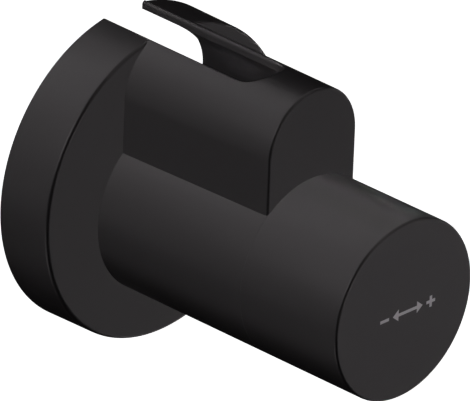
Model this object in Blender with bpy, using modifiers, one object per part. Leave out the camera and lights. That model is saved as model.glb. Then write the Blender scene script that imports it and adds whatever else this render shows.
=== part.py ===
"""Angle lockshield valve under a slip-on design cover with a round turning handle.

Metres, +Z up.  The valve axis is the Y axis, the wall plane is y = 0 and the room is towards -Y.
Pieces on the valve axis are drawn in their own frame: x to the right, y up, and z the depth from
the wall plane towards the room.  An empty turned by a quarter about X carries each moving group.
"""

import math

import bmesh
import bpy
from mathutils import Matrix

# Cover: rosette on the wall, sleeve round the valve, tall housing over the riser
WALL = 0.0020
RIM_WALL = 0.0025            # the rosette's rim is a little thicker than the rest
ROSETTE_RADIUS = 0.0360
ROSETTE_DRAFT = 0.0002
ROSETTE_DEPTH = 0.0140
ROSETTE_RISE = 0.0042
SLEEVE_RADIUS = 0.0205
HOUSING_DEPTH = 0.0560
HOUSING_HALF_BACK = 0.0139
HOUSING_HALF_FRONT = 0.0131
HOUSING_TOP_BACK = 0.0413
HOUSING_TOP_FRONT = 0.0411
HOUSING_WALL = 0.0019
SLOT_HALF = 0.0052
SLOT_END = 0.0392
SLOT_FLOOR = 0.0250
SLOT_TOP = 0.0480
GASKET_GAP_HALF = 0.0170     # the gasket stops well short of the slot on both sides
RING_START = 0.0494          # from here to the front the sleeve is a full ring
BULKHEAD_TOP = 0.0213        # the housing's hollow is closed below this height in front of the ring
GASKET_DEPTH = 0.0015
GASKET_WIDTH = 0.0022

# Handle
HANDLE_FRONT = 0.0840
HANDLE_GAP = 0.0001
HANDLE_EDGE = 0.0006
SPIGOT_RADIUS = 0.0175
SPIGOT_INNER = 0.0156
SPIGOT_BACK = 0.0496
INSERT_RADIUS = 0.0182
INSERT_FRONT = 0.0755
INSERT_FLOOR = 0.0025
SHOULDER_GAP = 0.0010
SNAP_NECK = 0.0005           # depth of the spigot's groove for the retaining ring
HUB_RADIUS = 0.0080
HUB_BACK = 0.0656
SNAP_DEPTH = 0.0514          # middle of the retaining ring
SNAP_HALF = 0.00055          # half the thickness of the retaining ring
SNAP_BITE = 0.00045          # how far the ring sits in the cover's groove
SNAP_REACH = 0.00125         # how far it stands in to catch the spigot
SNAP_GAP = 0.0060
BUSH_BACK = 0.0526
BUSH_FRONT = 0.0558
RUNNING_GAP = 0.00025

# Valve body
BARREL_RADIUS = 0.0130
BARREL_FRONT = 0.0502
CHAMBER_RADIUS = 0.0090
SEAT_DEPTH = 0.0300
SEAT_BORE = 0.0045
INLET_BORE = 0.0065
TAIL_CREST = 0.01035
TAIL_ROOT = 0.00945
TAIL_END = -0.0140
THREAD_PITCH = 0.001814
COLLAR_FLATS = 0.0260
MOUTH_RADIUS = 0.0109
MOUTH_BACK = 0.0432
SEAT_RIM = 0.0066            # outside radius of the raised seat
COLLAR_BACK = 0.0030
COLLAR_FRONT = 0.0090
COLLAR_WAIST = 0.0118
COLLAR_BORE = 0.0105
SEAL_OUTER = 0.0134

# Outlet branch for a 10 mm riser
OUTLET_DEPTH = 0.0380
OUTLET_TOP = 0.0200
BRANCH_RADIUS = 0.0082
RISER_RADIUS = 0.00515
OUTLET_FLATS = 0.0190
OUTLET_NUT_BOTTOM = 0.0155
OUTLET_NUT_TOP = 0.0270
OLIVE_RADIUS = 0.0065
OLIVE_TOP = 0.0246
SOCKET_FLOOR = 0.0115        # the riser's end rests here
PORT_RADIUS = 0.00405

# Headwork, spindle and plug
HEADWORK_FRONT = 0.0640
HEADWORK_FLATS = 0.0220
BEARING_RADIUS = 0.0042
JOURNAL_RADIUS = 0.00395
HEADWORK_THREAD = 0.0106
HEADWORK_NECK = 0.0074
FLANGE_LENGTH = 0.0045
GUIDE_END = 0.0544
GUIDE_FLATS = 0.0110
GUIDE_GAP = 0.0003
SPINDLE_FRONT = 0.0744
SPINDLE_TIP = 0.0421
SPINDLE_SCREW = 0.0027
COLLAR_RADIUS = 0.0052
COLLAR_SPAN = (0.0512, 0.0532)
CIRCLIP_SPAN = (0.0642, 0.0652)
CIRCLIP_ROOT = 0.0032
ORING_ROOT = 0.0028
ORING_HALF = 0.0008
ORING_WIRE = 0.00055
SPLINE_TEETH = 12
SPLINE_OUTER = 0.0039
SPLINE_INNER = 0.0033
PLUG_RADIUS = 0.0072
PLUG_THREAD = 0.0030
PLUG_SCREW_BORE = 0.0017
PLUG_SCREW_RADIUS = 0.0014
WASHER_THICKNESS = 0.0030
ORING_DEPTHS = {"spindle_oring_rear": 0.0566, "spindle_oring_front": 0.0604}
RING_OUTER = 0.0181
RING_BACK = 0.0158
RING_FRONT = 0.0232
GRIP_GROOVE = 0.0014
GRIP_WIRE = 0.0007
GRIP_DEPTHS = {"grip_oring_rear": 0.0176, "grip_oring_front": 0.0214}

GAP = 0.0003
MERGE = 0.00001
ROSETTE_STEPS = 64
LARGE_STEPS = 48
BODY_STEPS = 36
MEDIUM_STEPS = 28
SMALL_STEPS = 20

MATERIALS = {
    "satin_black": ((0.030, 0.029, 0.030), 0.38, 0.0),
    "black_plastic": ((0.045, 0.045, 0.047), 0.55, 0.0),
    "chrome": ((0.78, 0.78, 0.80), 0.12, 1.0),
    "brass": ((0.72, 0.52, 0.24), 0.28, 1.0),
    "steel": ((0.56, 0.57, 0.58), 0.25, 1.0),
    "rubber": ((0.022, 0.022, 0.023), 0.80, 0.0),
    "ptfe": ((0.86, 0.86, 0.84), 0.45, 0.0),
}


# ---------------------------------------------------------------- scene helpers

def clear_scene():
    for obj in list(bpy.data.objects):
        bpy.data.objects.remove(obj, do_unlink=True)
    for collection in list(bpy.data.collections):
        bpy.data.collections.remove(collection)


def new_collection(name):
    collection = bpy.data.collections.new(name)
    bpy.context.scene.collection.children.link(collection)
    return collection


def make_material(name):
    colour, roughness, metallic = MATERIALS[name]
    material = bpy.data.materials.new(name)
    material.use_nodes = True
    shader = material.node_tree.nodes["Principled BSDF"]
    shader.inputs["Base Color"].default_value = (*colour, 1.0)
    shader.inputs["Roughness"].default_value = roughness
    shader.inputs["Metallic"].default_value = metallic
    material.diffuse_color = (*colour, 1.0)
    return material


def joint_empty(name, parent=None):
    """An empty on the valve axis whose z axis points into the room."""
    empty = bpy.data.objects.new(name, None)
    empty.empty_display_size = 0.01
    PARTS.objects.link(empty)
    if parent is None:
        empty.rotation_euler = (math.pi / 2, 0, 0)
    empty.parent = parent
    return empty


def add_object(name, mesh, parent, collection):
    obj = bpy.data.objects.new(name, mesh)
    collection.objects.link(obj)
    obj.parent = parent
    return obj


def finish_mesh(bm, name):
    bmesh.ops.recalc_face_normals(bm, faces=bm.faces)
    mesh = bpy.data.meshes.new(name)
    bm.to_mesh(mesh)
    bm.free()
    return mesh


def piece(name, mesh, material, parent):
    """A visible sub-part with its own material, shaded smooth except at its edges."""
    obj = add_object(name, mesh, parent, PARTS)
    mesh.materials.append(make_material(material))
    mesh.shade_smooth()
    if mesh.polygons:
        mesh.set_sharp_from_angle(angle=math.radians(30))
    return obj


def tool(name, mesh, parent):
    """A solid that is only used by Boolean modifiers."""
    obj = add_object(name, mesh, parent, TOOLS)
    obj.hide_render = True
    obj.display_type = "WIRE"
    return obj


def combine(target, operand, operation="DIFFERENCE"):
    boolean = target.modifiers.new(operand.name, "BOOLEAN")
    boolean.operation = operation
    boolean.solver = "EXACT"
    boolean.object = operand


# ---------------------------------------------------------------- shape helpers

def cylinder(name, radius, start, end, steps, centre=(0.0, 0.0), end_radius=None):
    """A cylinder or cone along z from start to end, its centre at (x, y)."""
    bm = bmesh.new()
    place = Matrix.Translation((*centre, (start + end) / 2))
    bmesh.ops.create_cone(bm, cap_ends=True, segments=steps, radius1=radius,
                          radius2=radius if end_radius is None else end_radius,
                          depth=end - start, matrix=place)
    return finish_mesh(bm, name)


def hexagon(name, flats, start, end):
    return cylinder(name, flats / 2 / math.cos(math.pi / 6), start, end, 6)


def block(name, size, centre):
    bm = bmesh.new()
    bmesh.ops.create_cube(bm, size=1.0, matrix=Matrix.Translation(centre) @ Matrix.Diagonal((*size, 1.0)))
    return finish_mesh(bm, name)


def prism(name, outline, start, end, end_outline=None):
    """A flat outline extruded along z; a second outline of as many points gives it draft."""
    bm = bmesh.new()
    near = [bm.verts.new((x, y, start)) for x, y in outline]
    goal = dict(zip(near, end_outline or outline))
    far = bmesh.ops.extrude_face_region(bm, geom=[bm.faces.new(near)])
    for vert in (v for v in far["geom"] if isinstance(v, bmesh.types.BMVert)):
        root = next(e.other_vert(vert) for e in vert.link_edges if e.other_vert(vert) in goal)
        vert.co = (*goal[root], end)
    return finish_mesh(bm, name)


def turned_mesh(name, profile):
    """The half-section of a turned piece: (radius, depth) points, front to back on the outside."""
    mesh = bpy.data.meshes.new(name)
    verts = [(radius, 0.0, depth) for radius, depth in profile]
    edges = [(i, i + 1) for i in range(len(verts) - 1)]
    if profile[0][0] > 0:
        edges.append((len(verts) - 1, 0))
    mesh.from_pydata(verts, edges, [])
    return mesh


def turn(obj, steps):
    screw = obj.modifiers.new("Turn", "SCREW")
    screw.axis = "Z"
    screw.angle = 2 * math.pi
    screw.steps = steps
    screw.render_steps = steps
    screw.use_merge_vertices = True
    screw.merge_threshold = MERGE
    screw.use_smooth_shade = True
    return obj


def turned(name, profile, material, parent, steps=MEDIUM_STEPS):
    return turn(piece(name, turned_mesh(name, profile), material, parent), steps)


def ring_profile(inner, outer, back, front):
    return [(outer, front), (outer, back), (inner, back), (inner, front)]


def torus(name, ring_radius, wire_radius, depth, material, parent):
    """A round rubber ring: its circular section is turned about the axis."""
    sides = 8
    profile = []
    for k in range(sides):
        angle = math.pi / 2 - 2 * math.pi * k / sides
        profile.append((ring_radius + wire_radius * math.cos(angle), depth + wire_radius * math.sin(angle)))
    return turned(name, profile, material, parent, MEDIUM_STEPS)


def obround(half, top, floor=0.0, steps=18):
    """The housing's section: straight sides up from the floor and a half-round top."""
    spring = top - half
    points = [(-half, floor), (half, floor)]
    for k in range(steps + 1):
        angle = math.pi * k / steps
        points.append((half * math.cos(angle), spring + half * math.sin(angle)))
    return points


def slot_outline(half, start, end, steps=14):
    """The riser slot in plan, as (x, depth): open to the wall and half-round at the front."""
    points = [(half, start), (-half, start)]
    for k in range(steps + 1):
        angle = math.pi - math.pi * k / steps
        points.append((half * math.cos(angle), end + half * math.sin(angle)))
    return points


def spline_outline(grow):
    """A toothed outline for the spindle's head, or grown by a gap for its socket."""
    points = []
    for k in range(SPLINE_TEETH):
        for offset, radius in ((-0.30, SPLINE_INNER), (-0.16, SPLINE_OUTER),
                               (0.16, SPLINE_OUTER), (0.30, SPLINE_INNER)):
            angle = 2 * math.pi * (k + offset) / SPLINE_TEETH
            points.append(((radius + grow) * math.cos(angle), (radius + grow) * math.sin(angle)))
    return points


def upright(mesh):
    """Turns a mesh drawn along z so that it stands along the local y axis (world up)."""
    mesh.transform(Matrix.Rotation(-math.pi / 2, 4, "X"))
    return mesh


def slot_tool(name, half, end, parent):
    """A vertical cutter for the riser slot, from above the valve body to above the housing."""
    mesh = prism(name, slot_outline(half, -WALL, end), SLOT_FLOOR, SLOT_TOP)
    for vert in mesh.vertices:
        x, depth, height = vert.co
        vert.co = (x, height, depth)
    mesh.flip_normals()
    return tool(name, mesh, parent)


# ---------------------------------------------------------------- cover

def housing_tool(name, inset, start, end, floor, parent):
    """The drafted housing block, or its hollow when inset by the wall thickness."""
    def section(depth):
        share = depth / HOUSING_DEPTH
        half = HOUSING_HALF_BACK + (HOUSING_HALF_FRONT - HOUSING_HALF_BACK) * share
        top = HOUSING_TOP_BACK + (HOUSING_TOP_FRONT - HOUSING_TOP_BACK) * share
        return obround(half - inset, top - inset, floor)
    return tool(name, prism(name, section(start), start, end, section(end)), parent)


def make_cover_housing(parent):
    centre = (0.0, ROSETTE_RISE)
    disc = cylinder("cover_housing", ROSETTE_RADIUS, 0.0, ROSETTE_DEPTH, ROSETTE_STEPS, centre,
                    ROSETTE_RADIUS - ROSETTE_DRAFT)
    cover = piece("cover_housing", disc, "satin_black", parent)
    bore = SLEEVE_RADIUS - WALL
    sleeve = cylinder("sleeve", SLEEVE_RADIUS, WALL * 3, HOUSING_DEPTH, LARGE_STEPS)
    combine(cover, tool("sleeve", sleeve, parent), "UNION")
    combine(cover, housing_tool("housing", 0.0, 0.0, HOUSING_DEPTH, 0.0, parent), "UNION")
    hollow = cylinder("rosette_hollow", ROSETTE_RADIUS - RIM_WALL, -WALL, ROSETTE_DEPTH - WALL, ROSETTE_STEPS,
                      centre)
    combine(cover, tool("rosette_hollow", hollow, parent))
    bore_tool = cylinder("sleeve_bore", bore, -WALL, HOUSING_DEPTH + WALL, LARGE_STEPS)
    combine(cover, tool("sleeve_bore", bore_tool, parent))
    housing_hollow = housing_tool("housing_hollow", HOUSING_WALL, -WALL, HOUSING_DEPTH - WALL, WALL, parent)
    bulkhead = block("bulkhead", (HOUSING_DEPTH, 2 * BULKHEAD_TOP, HOUSING_DEPTH),
                     (0.0, 0.0, RING_START + HOUSING_DEPTH / 2))
    combine(housing_hollow, tool("bulkhead", bulkhead, parent))
    combine(cover, housing_hollow)
    room = SNAP_HALF + GAP / 2
    groove = cylinder("snap_groove", bore + SNAP_BITE + GAP, SNAP_DEPTH - room, SNAP_DEPTH + room,
                      LARGE_STEPS)
    combine(cover, tool("snap_groove", groove, parent))
    combine(cover, slot_tool("riser_slot", SLOT_HALF, SLOT_END, parent))


def make_wall_gasket(parent):
    outer = ROSETTE_RADIUS - RIM_WALL - GAP
    gasket = piece("wall_gasket", cylinder("wall_gasket", outer, 0.0, GASKET_DEPTH, LARGE_STEPS,
                                           (0.0, ROSETTE_RISE)), "rubber", parent)
    opening = cylinder("gasket_opening", outer - GASKET_WIDTH, -GASKET_DEPTH, 2 * GASKET_DEPTH, LARGE_STEPS,
                       (0.0, ROSETTE_RISE))
    combine(gasket, tool("gasket_opening", opening, parent))
    combine(gasket, slot_tool("gasket_slot", GASKET_GAP_HALF, SLOT_END, parent))


def make_retaining_ring(parent):
    bore = SLEEVE_RADIUS - WALL
    section = ring_profile(bore - SNAP_REACH, bore + SNAP_BITE,
                           SNAP_DEPTH - SNAP_HALF, SNAP_DEPTH + SNAP_HALF)
    ring = turned("handle_retaining_ring", section, "steel", parent, LARGE_STEPS)
    gap = block("snap_gap", (SNAP_GAP, SNAP_GAP, SNAP_GAP), (0.0, -bore, SNAP_DEPTH))
    combine(ring, tool("snap_gap", gap, parent))


def make_handle_bush(parent):
    bore = SLEEVE_RADIUS - WALL
    section = ring_profile(SPIGOT_RADIUS + RUNNING_GAP, bore - RUNNING_GAP, BUSH_BACK, BUSH_FRONT)
    turned("handle_bush", section, "ptfe", parent, LARGE_STEPS)


# ---------------------------------------------------------------- handle

def make_handle_shell(parent):
    back = HOUSING_DEPTH + HANDLE_GAP
    bore = SLEEVE_RADIUS - WALL
    edge = HANDLE_EDGE
    rounded = [(SLEEVE_RADIUS - edge + edge * math.sin(a), HANDLE_FRONT - edge + edge * math.cos(a))
               for a in (0.0, math.pi / 6, math.pi / 3, math.pi / 2)]
    profile = [(0.0, HANDLE_FRONT), *rounded, (SLEEVE_RADIUS, back), (bore, back),
               (bore, HANDLE_FRONT - WALL), (0.0, HANDLE_FRONT - WALL)]
    turned("handle_shell", profile, "satin_black", parent, LARGE_STEPS)


def make_handle_insert(parent):
    shoulder = HOUSING_DEPTH + SHOULDER_GAP
    floor = INSERT_FRONT - INSERT_FLOOR
    neck = SPIGOT_RADIUS - SNAP_NECK
    room = SNAP_HALF + RUNNING_GAP
    hub_bore = SPLINE_INNER - GAP
    profile = [
        (INSERT_RADIUS, INSERT_FRONT), (INSERT_RADIUS, shoulder), (SPIGOT_RADIUS, shoulder),
        (SPIGOT_RADIUS, SNAP_DEPTH + room), (neck, SNAP_DEPTH + room), (neck, SNAP_DEPTH - room),
        (SPIGOT_RADIUS, SNAP_DEPTH - room), (SPIGOT_RADIUS, SPIGOT_BACK), (SPIGOT_INNER, SPIGOT_BACK),
        (SPIGOT_INNER, floor), (HUB_RADIUS, floor), (HUB_RADIUS, HUB_BACK),
        (hub_bore, HUB_BACK), (hub_bore, INSERT_FRONT),
    ]
    insert = turned("handle_insert", profile, "black_plastic", parent, LARGE_STEPS)
    socket = prism("spline_socket", spline_outline(GAP), HUB_BACK - WALL, INSERT_FRONT + WALL)
    combine(insert, tool("spline_socket", socket, parent))


# ---------------------------------------------------------------- valve body and its fittings

def tail_profile():
    """Thread crests and roots of the inlet tail, from the collar to its end."""
    points = []
    depth = 0.0
    while depth - THREAD_PITCH > TAIL_END:
        points += [(TAIL_ROOT, depth), (TAIL_CREST, depth - THREAD_PITCH * 0.4),
                   (TAIL_CREST, depth - THREAD_PITCH * 0.6)]
        depth -= THREAD_PITCH
    return points + [(TAIL_ROOT, depth), (TAIL_ROOT - 0.0003, TAIL_END)]


def make_valve_body(parent):
    waist_front = COLLAR_FRONT - WALL
    outside = [(BARREL_RADIUS, BARREL_FRONT), (BARREL_RADIUS, waist_front), (COLLAR_WAIST, waist_front),
               (COLLAR_WAIST, COLLAR_BACK), (TAIL_ROOT, COLLAR_BACK)]
    inside = [(INLET_BORE, TAIL_END), (INLET_BORE, SEAT_DEPTH - 0.0045), (SEAT_BORE, SEAT_DEPTH - 0.0025),
              (SEAT_BORE, SEAT_DEPTH), (SEAT_RIM, SEAT_DEPTH), (SEAT_RIM, SEAT_DEPTH - 0.001),
              (CHAMBER_RADIUS, SEAT_DEPTH - 0.001), (CHAMBER_RADIUS, BARREL_FRONT)]
    body = turned("valve_body", outside + tail_profile() + inside, "chrome", parent, BODY_STEPS)
    collar = tool("body_collar", hexagon("body_collar", COLLAR_FLATS, COLLAR_BACK, COLLAR_FRONT), parent)
    collar_bore = cylinder("collar_bore", COLLAR_BORE, 0.0, 2 * COLLAR_FRONT, MEDIUM_STEPS)
    combine(collar, tool("collar_bore", collar_bore, parent))
    combine(body, collar, "UNION")
    outlet = (0.0, -OUTLET_DEPTH)
    branch = upright(cylinder("outlet_branch", BRANCH_RADIUS, CHAMBER_RADIUS + 0.0005, OUTLET_TOP,
                              MEDIUM_STEPS, outlet))
    combine(body, tool("outlet_branch", branch, parent), "UNION")
    mouth = cylinder("headwork_mouth", MOUTH_RADIUS, MOUTH_BACK, BARREL_FRONT + WALL, BODY_STEPS)
    combine(body, tool("headwork_mouth", mouth, parent))
    socket = upright(cylinder("riser_socket", RISER_RADIUS, SOCKET_FLOOR, OUTLET_TOP + WALL, MEDIUM_STEPS,
                              outlet))
    combine(body, tool("riser_socket", socket, parent))
    port = upright(cylinder("outlet_port", PORT_RADIUS, 0.0005, SOCKET_FLOOR + 0.001, MEDIUM_STEPS, outlet))
    combine(body, tool("outlet_port", port, parent))


def make_inlet_seal(parent):
    section = ring_profile(TAIL_CREST + GAP, SEAL_OUTER, 0.0008, COLLAR_BACK - GAP)
    turned("inlet_seal_ring", section, "rubber", parent)


def make_outlet_nut():
    """The compression nut stands on the outlet branch: drawn along the world Z axis."""
    nut = piece("outlet_nut", hexagon("outlet_nut", OUTLET_FLATS, OUTLET_NUT_BOTTOM, OUTLET_NUT_TOP),
                "chrome", None)
    nut.location.y = -OUTLET_DEPTH
    hole = RISER_RADIUS + 0.0001
    cone = OLIVE_RADIUS + GAP + 0.0001
    thread = BRANCH_RADIUS + GAP
    below = OUTLET_NUT_BOTTOM - WALL
    bore = tool("nut_bore", turned_mesh("nut_bore", [
        (0.0, OUTLET_NUT_TOP + WALL), (hole, OUTLET_NUT_TOP + WALL), (hole, OLIVE_TOP + 0.0010),
        (cone, OLIVE_TOP), (cone, OLIVE_TOP - 0.0030), (thread, OLIVE_TOP - 0.0034),
        (thread, below), (0.0, below)]), None)
    turn(bore, MEDIUM_STEPS).location.y = -OUTLET_DEPTH
    combine(nut, bore)
    corner = OUTLET_FLATS / 2 / math.cos(math.pi / 6) + 0.0008
    chamfer = tool("nut_chamfer", turned_mesh("nut_chamfer", [
        (0.0, OUTLET_NUT_TOP), (OUTLET_FLATS / 2 + GAP, OUTLET_NUT_TOP), (corner, OUTLET_NUT_TOP - 0.0012),
        (corner, OUTLET_NUT_BOTTOM), (0.0, OUTLET_NUT_BOTTOM)]), None)
    turn(chamfer, MEDIUM_STEPS).location.y = -OUTLET_DEPTH
    combine(nut, chamfer, "INTERSECT")


def make_outlet_olive():
    low = OUTLET_TOP + GAP
    middle = (low + OLIVE_TOP) / 2
    end = OLIVE_RADIUS - 0.0009
    half = 0.0009
    profile = [(end, OLIVE_TOP), (OLIVE_RADIUS, middle + half), (OLIVE_RADIUS, middle - half), (end, low),
               (RISER_RADIUS, low), (RISER_RADIUS, OLIVE_TOP)]
    turned("outlet_olive", profile, "brass", None).location.y = -OUTLET_DEPTH


def make_centering_ring(parent):
    outer = RING_OUTER
    floor = RING_OUTER - GRIP_GROOVE
    half = GRIP_WIRE + 0.0002
    profile = [(outer, RING_FRONT)]
    for depth in sorted(GRIP_DEPTHS.values(), reverse=True):
        profile += [(outer, depth + half), (floor, depth + half),
                    (floor, depth - half), (outer, depth - half)]
    profile += [(outer, RING_BACK), (BARREL_RADIUS + GAP, RING_BACK), (BARREL_RADIUS + GAP, RING_FRONT)]
    turned("centering_ring", profile, "black_plastic", parent, LARGE_STEPS)
    for name, depth in GRIP_DEPTHS.items():
        torus(name, floor + GAP / 2 + GRIP_WIRE, GRIP_WIRE, depth, "rubber", parent)


# ---------------------------------------------------------------- headwork and spindle

def make_headwork(parent):
    thread_back = MOUTH_BACK + GAP
    flange_back = BARREL_FRONT + 0.0008
    flange_front = flange_back + FLANGE_LENGTH
    lead = 0.0004
    profile = [(HEADWORK_NECK - lead, HEADWORK_FRONT), (HEADWORK_NECK, HEADWORK_FRONT - lead),
               (HEADWORK_NECK, flange_front), (HEADWORK_THREAD, flange_front), (HEADWORK_THREAD, thread_back),
               (BEARING_RADIUS, thread_back), (BEARING_RADIUS, HEADWORK_FRONT)]
    headwork = turned("headwork_body", profile, "brass", parent)
    flange = tool("headwork_flange", hexagon("headwork_flange", HEADWORK_FLATS, flange_back, flange_front),
                  parent)
    flange_bore = cylinder("flange_bore", HEADWORK_NECK + GAP, MOUTH_BACK, HEADWORK_FRONT, MEDIUM_STEPS)
    combine(flange, tool("flange_bore", flange_bore, parent))
    combine(headwork, flange, "UNION")
    guide = hexagon("plug_guide", GUIDE_FLATS + 2 * GUIDE_GAP, thread_back - WALL, GUIDE_END)
    combine(headwork, tool("plug_guide", guide, parent))
    seal = ring_profile(MOUTH_RADIUS, BARREL_RADIUS - GAP, BARREL_FRONT + 0.0002, flange_back - 0.0001)
    turned("headwork_seal", seal, "rubber", parent)


def make_spindle(parent):
    collar_back, collar_front = COLLAR_SPAN
    clip_back, clip_front = CIRCLIP_SPAN
    journal_end = SPINDLE_FRONT - 0.0090
    profile = [(0.0, journal_end + 0.0005), (SPLINE_INNER, journal_end + 0.0005),
               (SPLINE_INNER, journal_end), (JOURNAL_RADIUS, journal_end), (JOURNAL_RADIUS, clip_front),
               (CIRCLIP_ROOT, clip_front), (CIRCLIP_ROOT, clip_back), (JOURNAL_RADIUS, clip_back)]
    for depth in sorted(ORING_DEPTHS.values(), reverse=True):
        profile += [(JOURNAL_RADIUS, depth + ORING_HALF), (ORING_ROOT, depth + ORING_HALF),
                    (ORING_ROOT, depth - ORING_HALF), (JOURNAL_RADIUS, depth - ORING_HALF)]
    profile += [(JOURNAL_RADIUS, collar_front), (COLLAR_RADIUS, collar_front), (COLLAR_RADIUS, collar_back),
                (SPINDLE_SCREW, collar_back), (SPINDLE_SCREW, SPINDLE_TIP), (0.0, SPINDLE_TIP)]
    spindle = turned("spindle", profile, "brass", parent)
    head = prism("spline_head", spline_outline(0.0), journal_end - 0.0002, SPINDLE_FRONT)
    combine(spindle, tool("spline_head", head, parent), "UNION")
    for name, depth in ORING_DEPTHS.items():
        torus(name, ORING_ROOT + ORING_WIRE + 0.00015, ORING_WIRE, depth, "rubber", parent)
    washer = ring_profile(JOURNAL_RADIUS + 0.0002, COLLAR_RADIUS + 0.0002, collar_front + 0.0002,
                          GUIDE_END - GAP)
    turned("spindle_thrust_washer", washer, "ptfe", parent)
    clip = ring_profile(CIRCLIP_ROOT + 0.0002, COLLAR_RADIUS + 0.0004,
                        clip_back + 0.0002, clip_front - 0.0002)
    circlip = turned("spindle_circlip", clip, "steel", parent)
    gap = block("circlip_gap", (0.003, 0.004, 0.004), (0.0, -COLLAR_RADIUS, clip_back))
    combine(circlip, tool("circlip_gap", gap, parent))


# ---------------------------------------------------------------- plug

def make_plug(parent):
    flange_back = SEAT_DEPTH + GAP + WASHER_THICKNESS
    flange_front = flange_back + 0.0018
    stem_front, blind = 0.0470, 0.0380
    flange = cylinder("plug_carrier", PLUG_RADIUS, flange_back, flange_front, SMALL_STEPS)
    carrier = piece("plug_carrier", flange, "brass", parent)
    stem = hexagon("plug_stem", GUIDE_FLATS, flange_back + 0.0005, stem_front)
    combine(carrier, tool("plug_stem", stem, parent), "UNION")
    thread = cylinder("plug_thread", PLUG_THREAD, blind, stem_front + WALL, SMALL_STEPS)
    combine(carrier, tool("plug_thread", thread, parent))
    screw_end = flange_back + 0.0032
    hole = cylinder("plug_screw_hole", PLUG_SCREW_BORE, flange_back - 0.001, screw_end + 0.0004, SMALL_STEPS)
    combine(carrier, tool("plug_screw_hole", hole, parent))
    washer = ring_profile(PLUG_SCREW_BORE, PLUG_RADIUS, SEAT_DEPTH + GAP, flange_back - GAP)
    turned("seat_washer", washer, "rubber", parent)
    head_back, head_front = SEAT_DEPTH - 0.0014, SEAT_DEPTH
    head, lead = 0.0030, 0.0004
    screw = [(0.0, screw_end), (PLUG_SCREW_RADIUS, screw_end), (PLUG_SCREW_RADIUS, head_front),
             (head, head_front), (head, head_back + lead), (head - lead, head_back), (0.0, head_back)]
    turned("washer_screw", screw, "steel", parent, SMALL_STEPS)


def main():
    valve = joint_empty("valve_axis")
    cover = joint_empty("cover_slide")
    handle = joint_empty("handle_turn", cover)
    spindle = joint_empty("spindle_turn")
    plug = joint_empty("plug_lift")
    make_cover_housing(cover)
    make_wall_gasket(cover)
    make_retaining_ring(cover)
    make_handle_bush(cover)
    make_handle_shell(handle)
    make_handle_insert(handle)
    make_valve_body(valve)
    make_inlet_seal(valve)
    make_outlet_nut()
    make_outlet_olive()
    make_centering_ring(valve)
    make_headwork(valve)
    make_spindle(spindle)
    make_plug(plug)


clear_scene()
PARTS = new_collection("lockshield_valve")
TOOLS = new_collection("cutters")
main()
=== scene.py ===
"""Looks of the lockshield valve: fine pieces, materials, soft studio light and the camera.

Pieces are drawn in the valve's own frame, x to the right, y up and z the depth from the wall plane
towards the room, and are then turned into the model's frame, where the room is towards -Y.
"""

import math

import bmesh
import bpy
from mathutils import Matrix, Vector


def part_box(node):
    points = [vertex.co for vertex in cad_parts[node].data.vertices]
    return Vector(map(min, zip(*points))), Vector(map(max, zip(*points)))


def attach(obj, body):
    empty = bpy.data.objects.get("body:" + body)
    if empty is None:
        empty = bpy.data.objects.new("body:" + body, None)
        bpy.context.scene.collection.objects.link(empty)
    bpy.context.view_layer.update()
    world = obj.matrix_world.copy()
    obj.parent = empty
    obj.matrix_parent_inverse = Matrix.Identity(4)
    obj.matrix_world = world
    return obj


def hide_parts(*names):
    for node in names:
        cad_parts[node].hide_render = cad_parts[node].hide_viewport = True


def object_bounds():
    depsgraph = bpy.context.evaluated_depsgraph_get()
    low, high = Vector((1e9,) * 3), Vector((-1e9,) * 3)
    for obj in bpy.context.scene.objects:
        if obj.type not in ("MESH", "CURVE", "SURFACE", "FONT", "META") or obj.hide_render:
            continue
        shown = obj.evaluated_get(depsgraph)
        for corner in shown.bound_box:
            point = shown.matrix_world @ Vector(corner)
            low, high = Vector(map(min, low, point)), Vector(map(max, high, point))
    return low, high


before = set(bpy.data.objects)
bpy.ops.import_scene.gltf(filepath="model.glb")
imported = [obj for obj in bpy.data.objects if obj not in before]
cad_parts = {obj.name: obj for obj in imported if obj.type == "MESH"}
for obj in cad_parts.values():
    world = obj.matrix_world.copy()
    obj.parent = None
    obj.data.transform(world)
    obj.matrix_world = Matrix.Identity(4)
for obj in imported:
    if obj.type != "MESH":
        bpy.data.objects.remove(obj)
cad_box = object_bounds()

MM = 0.001
AXIS = Matrix.Rotation(math.pi / 2, 4, "X")
UPRIGHT = Matrix.Rotation(-math.pi / 2, 4, "X")

cover_low, cover_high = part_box("cover_housing")
handle_low, handle_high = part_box("handle_shell")
ROSETTE_RADIUS = cover_high.x
ROSETTE_DEPTH = 14.0 * MM
ROSETTE_DRAFT = 0.2 * MM
ROSETTE_RISE = cover_low.z + ROSETTE_RADIUS
SLEEVE_RADIUS = handle_high.x
HOUSING_DEPTH = -cover_low.y
HOUSING_TOP_BACK = cover_high.z
HOUSING_TOP_FRONT = HOUSING_TOP_BACK - 0.2 * MM
HOUSING_HALF_BACK = 13.9 * MM
HOUSING_HALF_FRONT = 13.1 * MM
HOUSING_WALL = 1.9 * MM
WALL = 2.0 * MM
RIM_WALL = 2.5 * MM
RING_START = 49.4 * MM
BULKHEAD_TOP = 21.3 * MM
GROOVE_BACK = 50.7 * MM
GROOVE_FRONT = 52.1 * MM
GROOVE_BITE = 0.7 * MM
SLOT_HALF = 5.2 * MM
SLOT_END = 39.2 * MM
SLOT_FLOOR = 25.0 * MM
SLOT_TOP = 48.0 * MM
SLOT_OPEN = -3.0 * MM        # the slot's cutter starts behind the wall plane
HANDLE_FRONT = -handle_low.y
SEAM = 0.05 * MM             # shadow gap between the housing and the handle
MARK_HEIGHT = 0.03 * MM
ROSETTE_EDGE = 0.8 * MM
HOUSING_EDGE = 0.6 * MM
SLOT_EDGE_LEFT = 1.45 * MM
SLOT_EDGE_RIGHT = 0.7 * MM
HANDLE_EDGE = 0.6 * MM
BACK_EDGE = 0.3 * MM
INNER_SHARE = 0.9            # of a wall's thickness; what lies deeper is an inner surface

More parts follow.
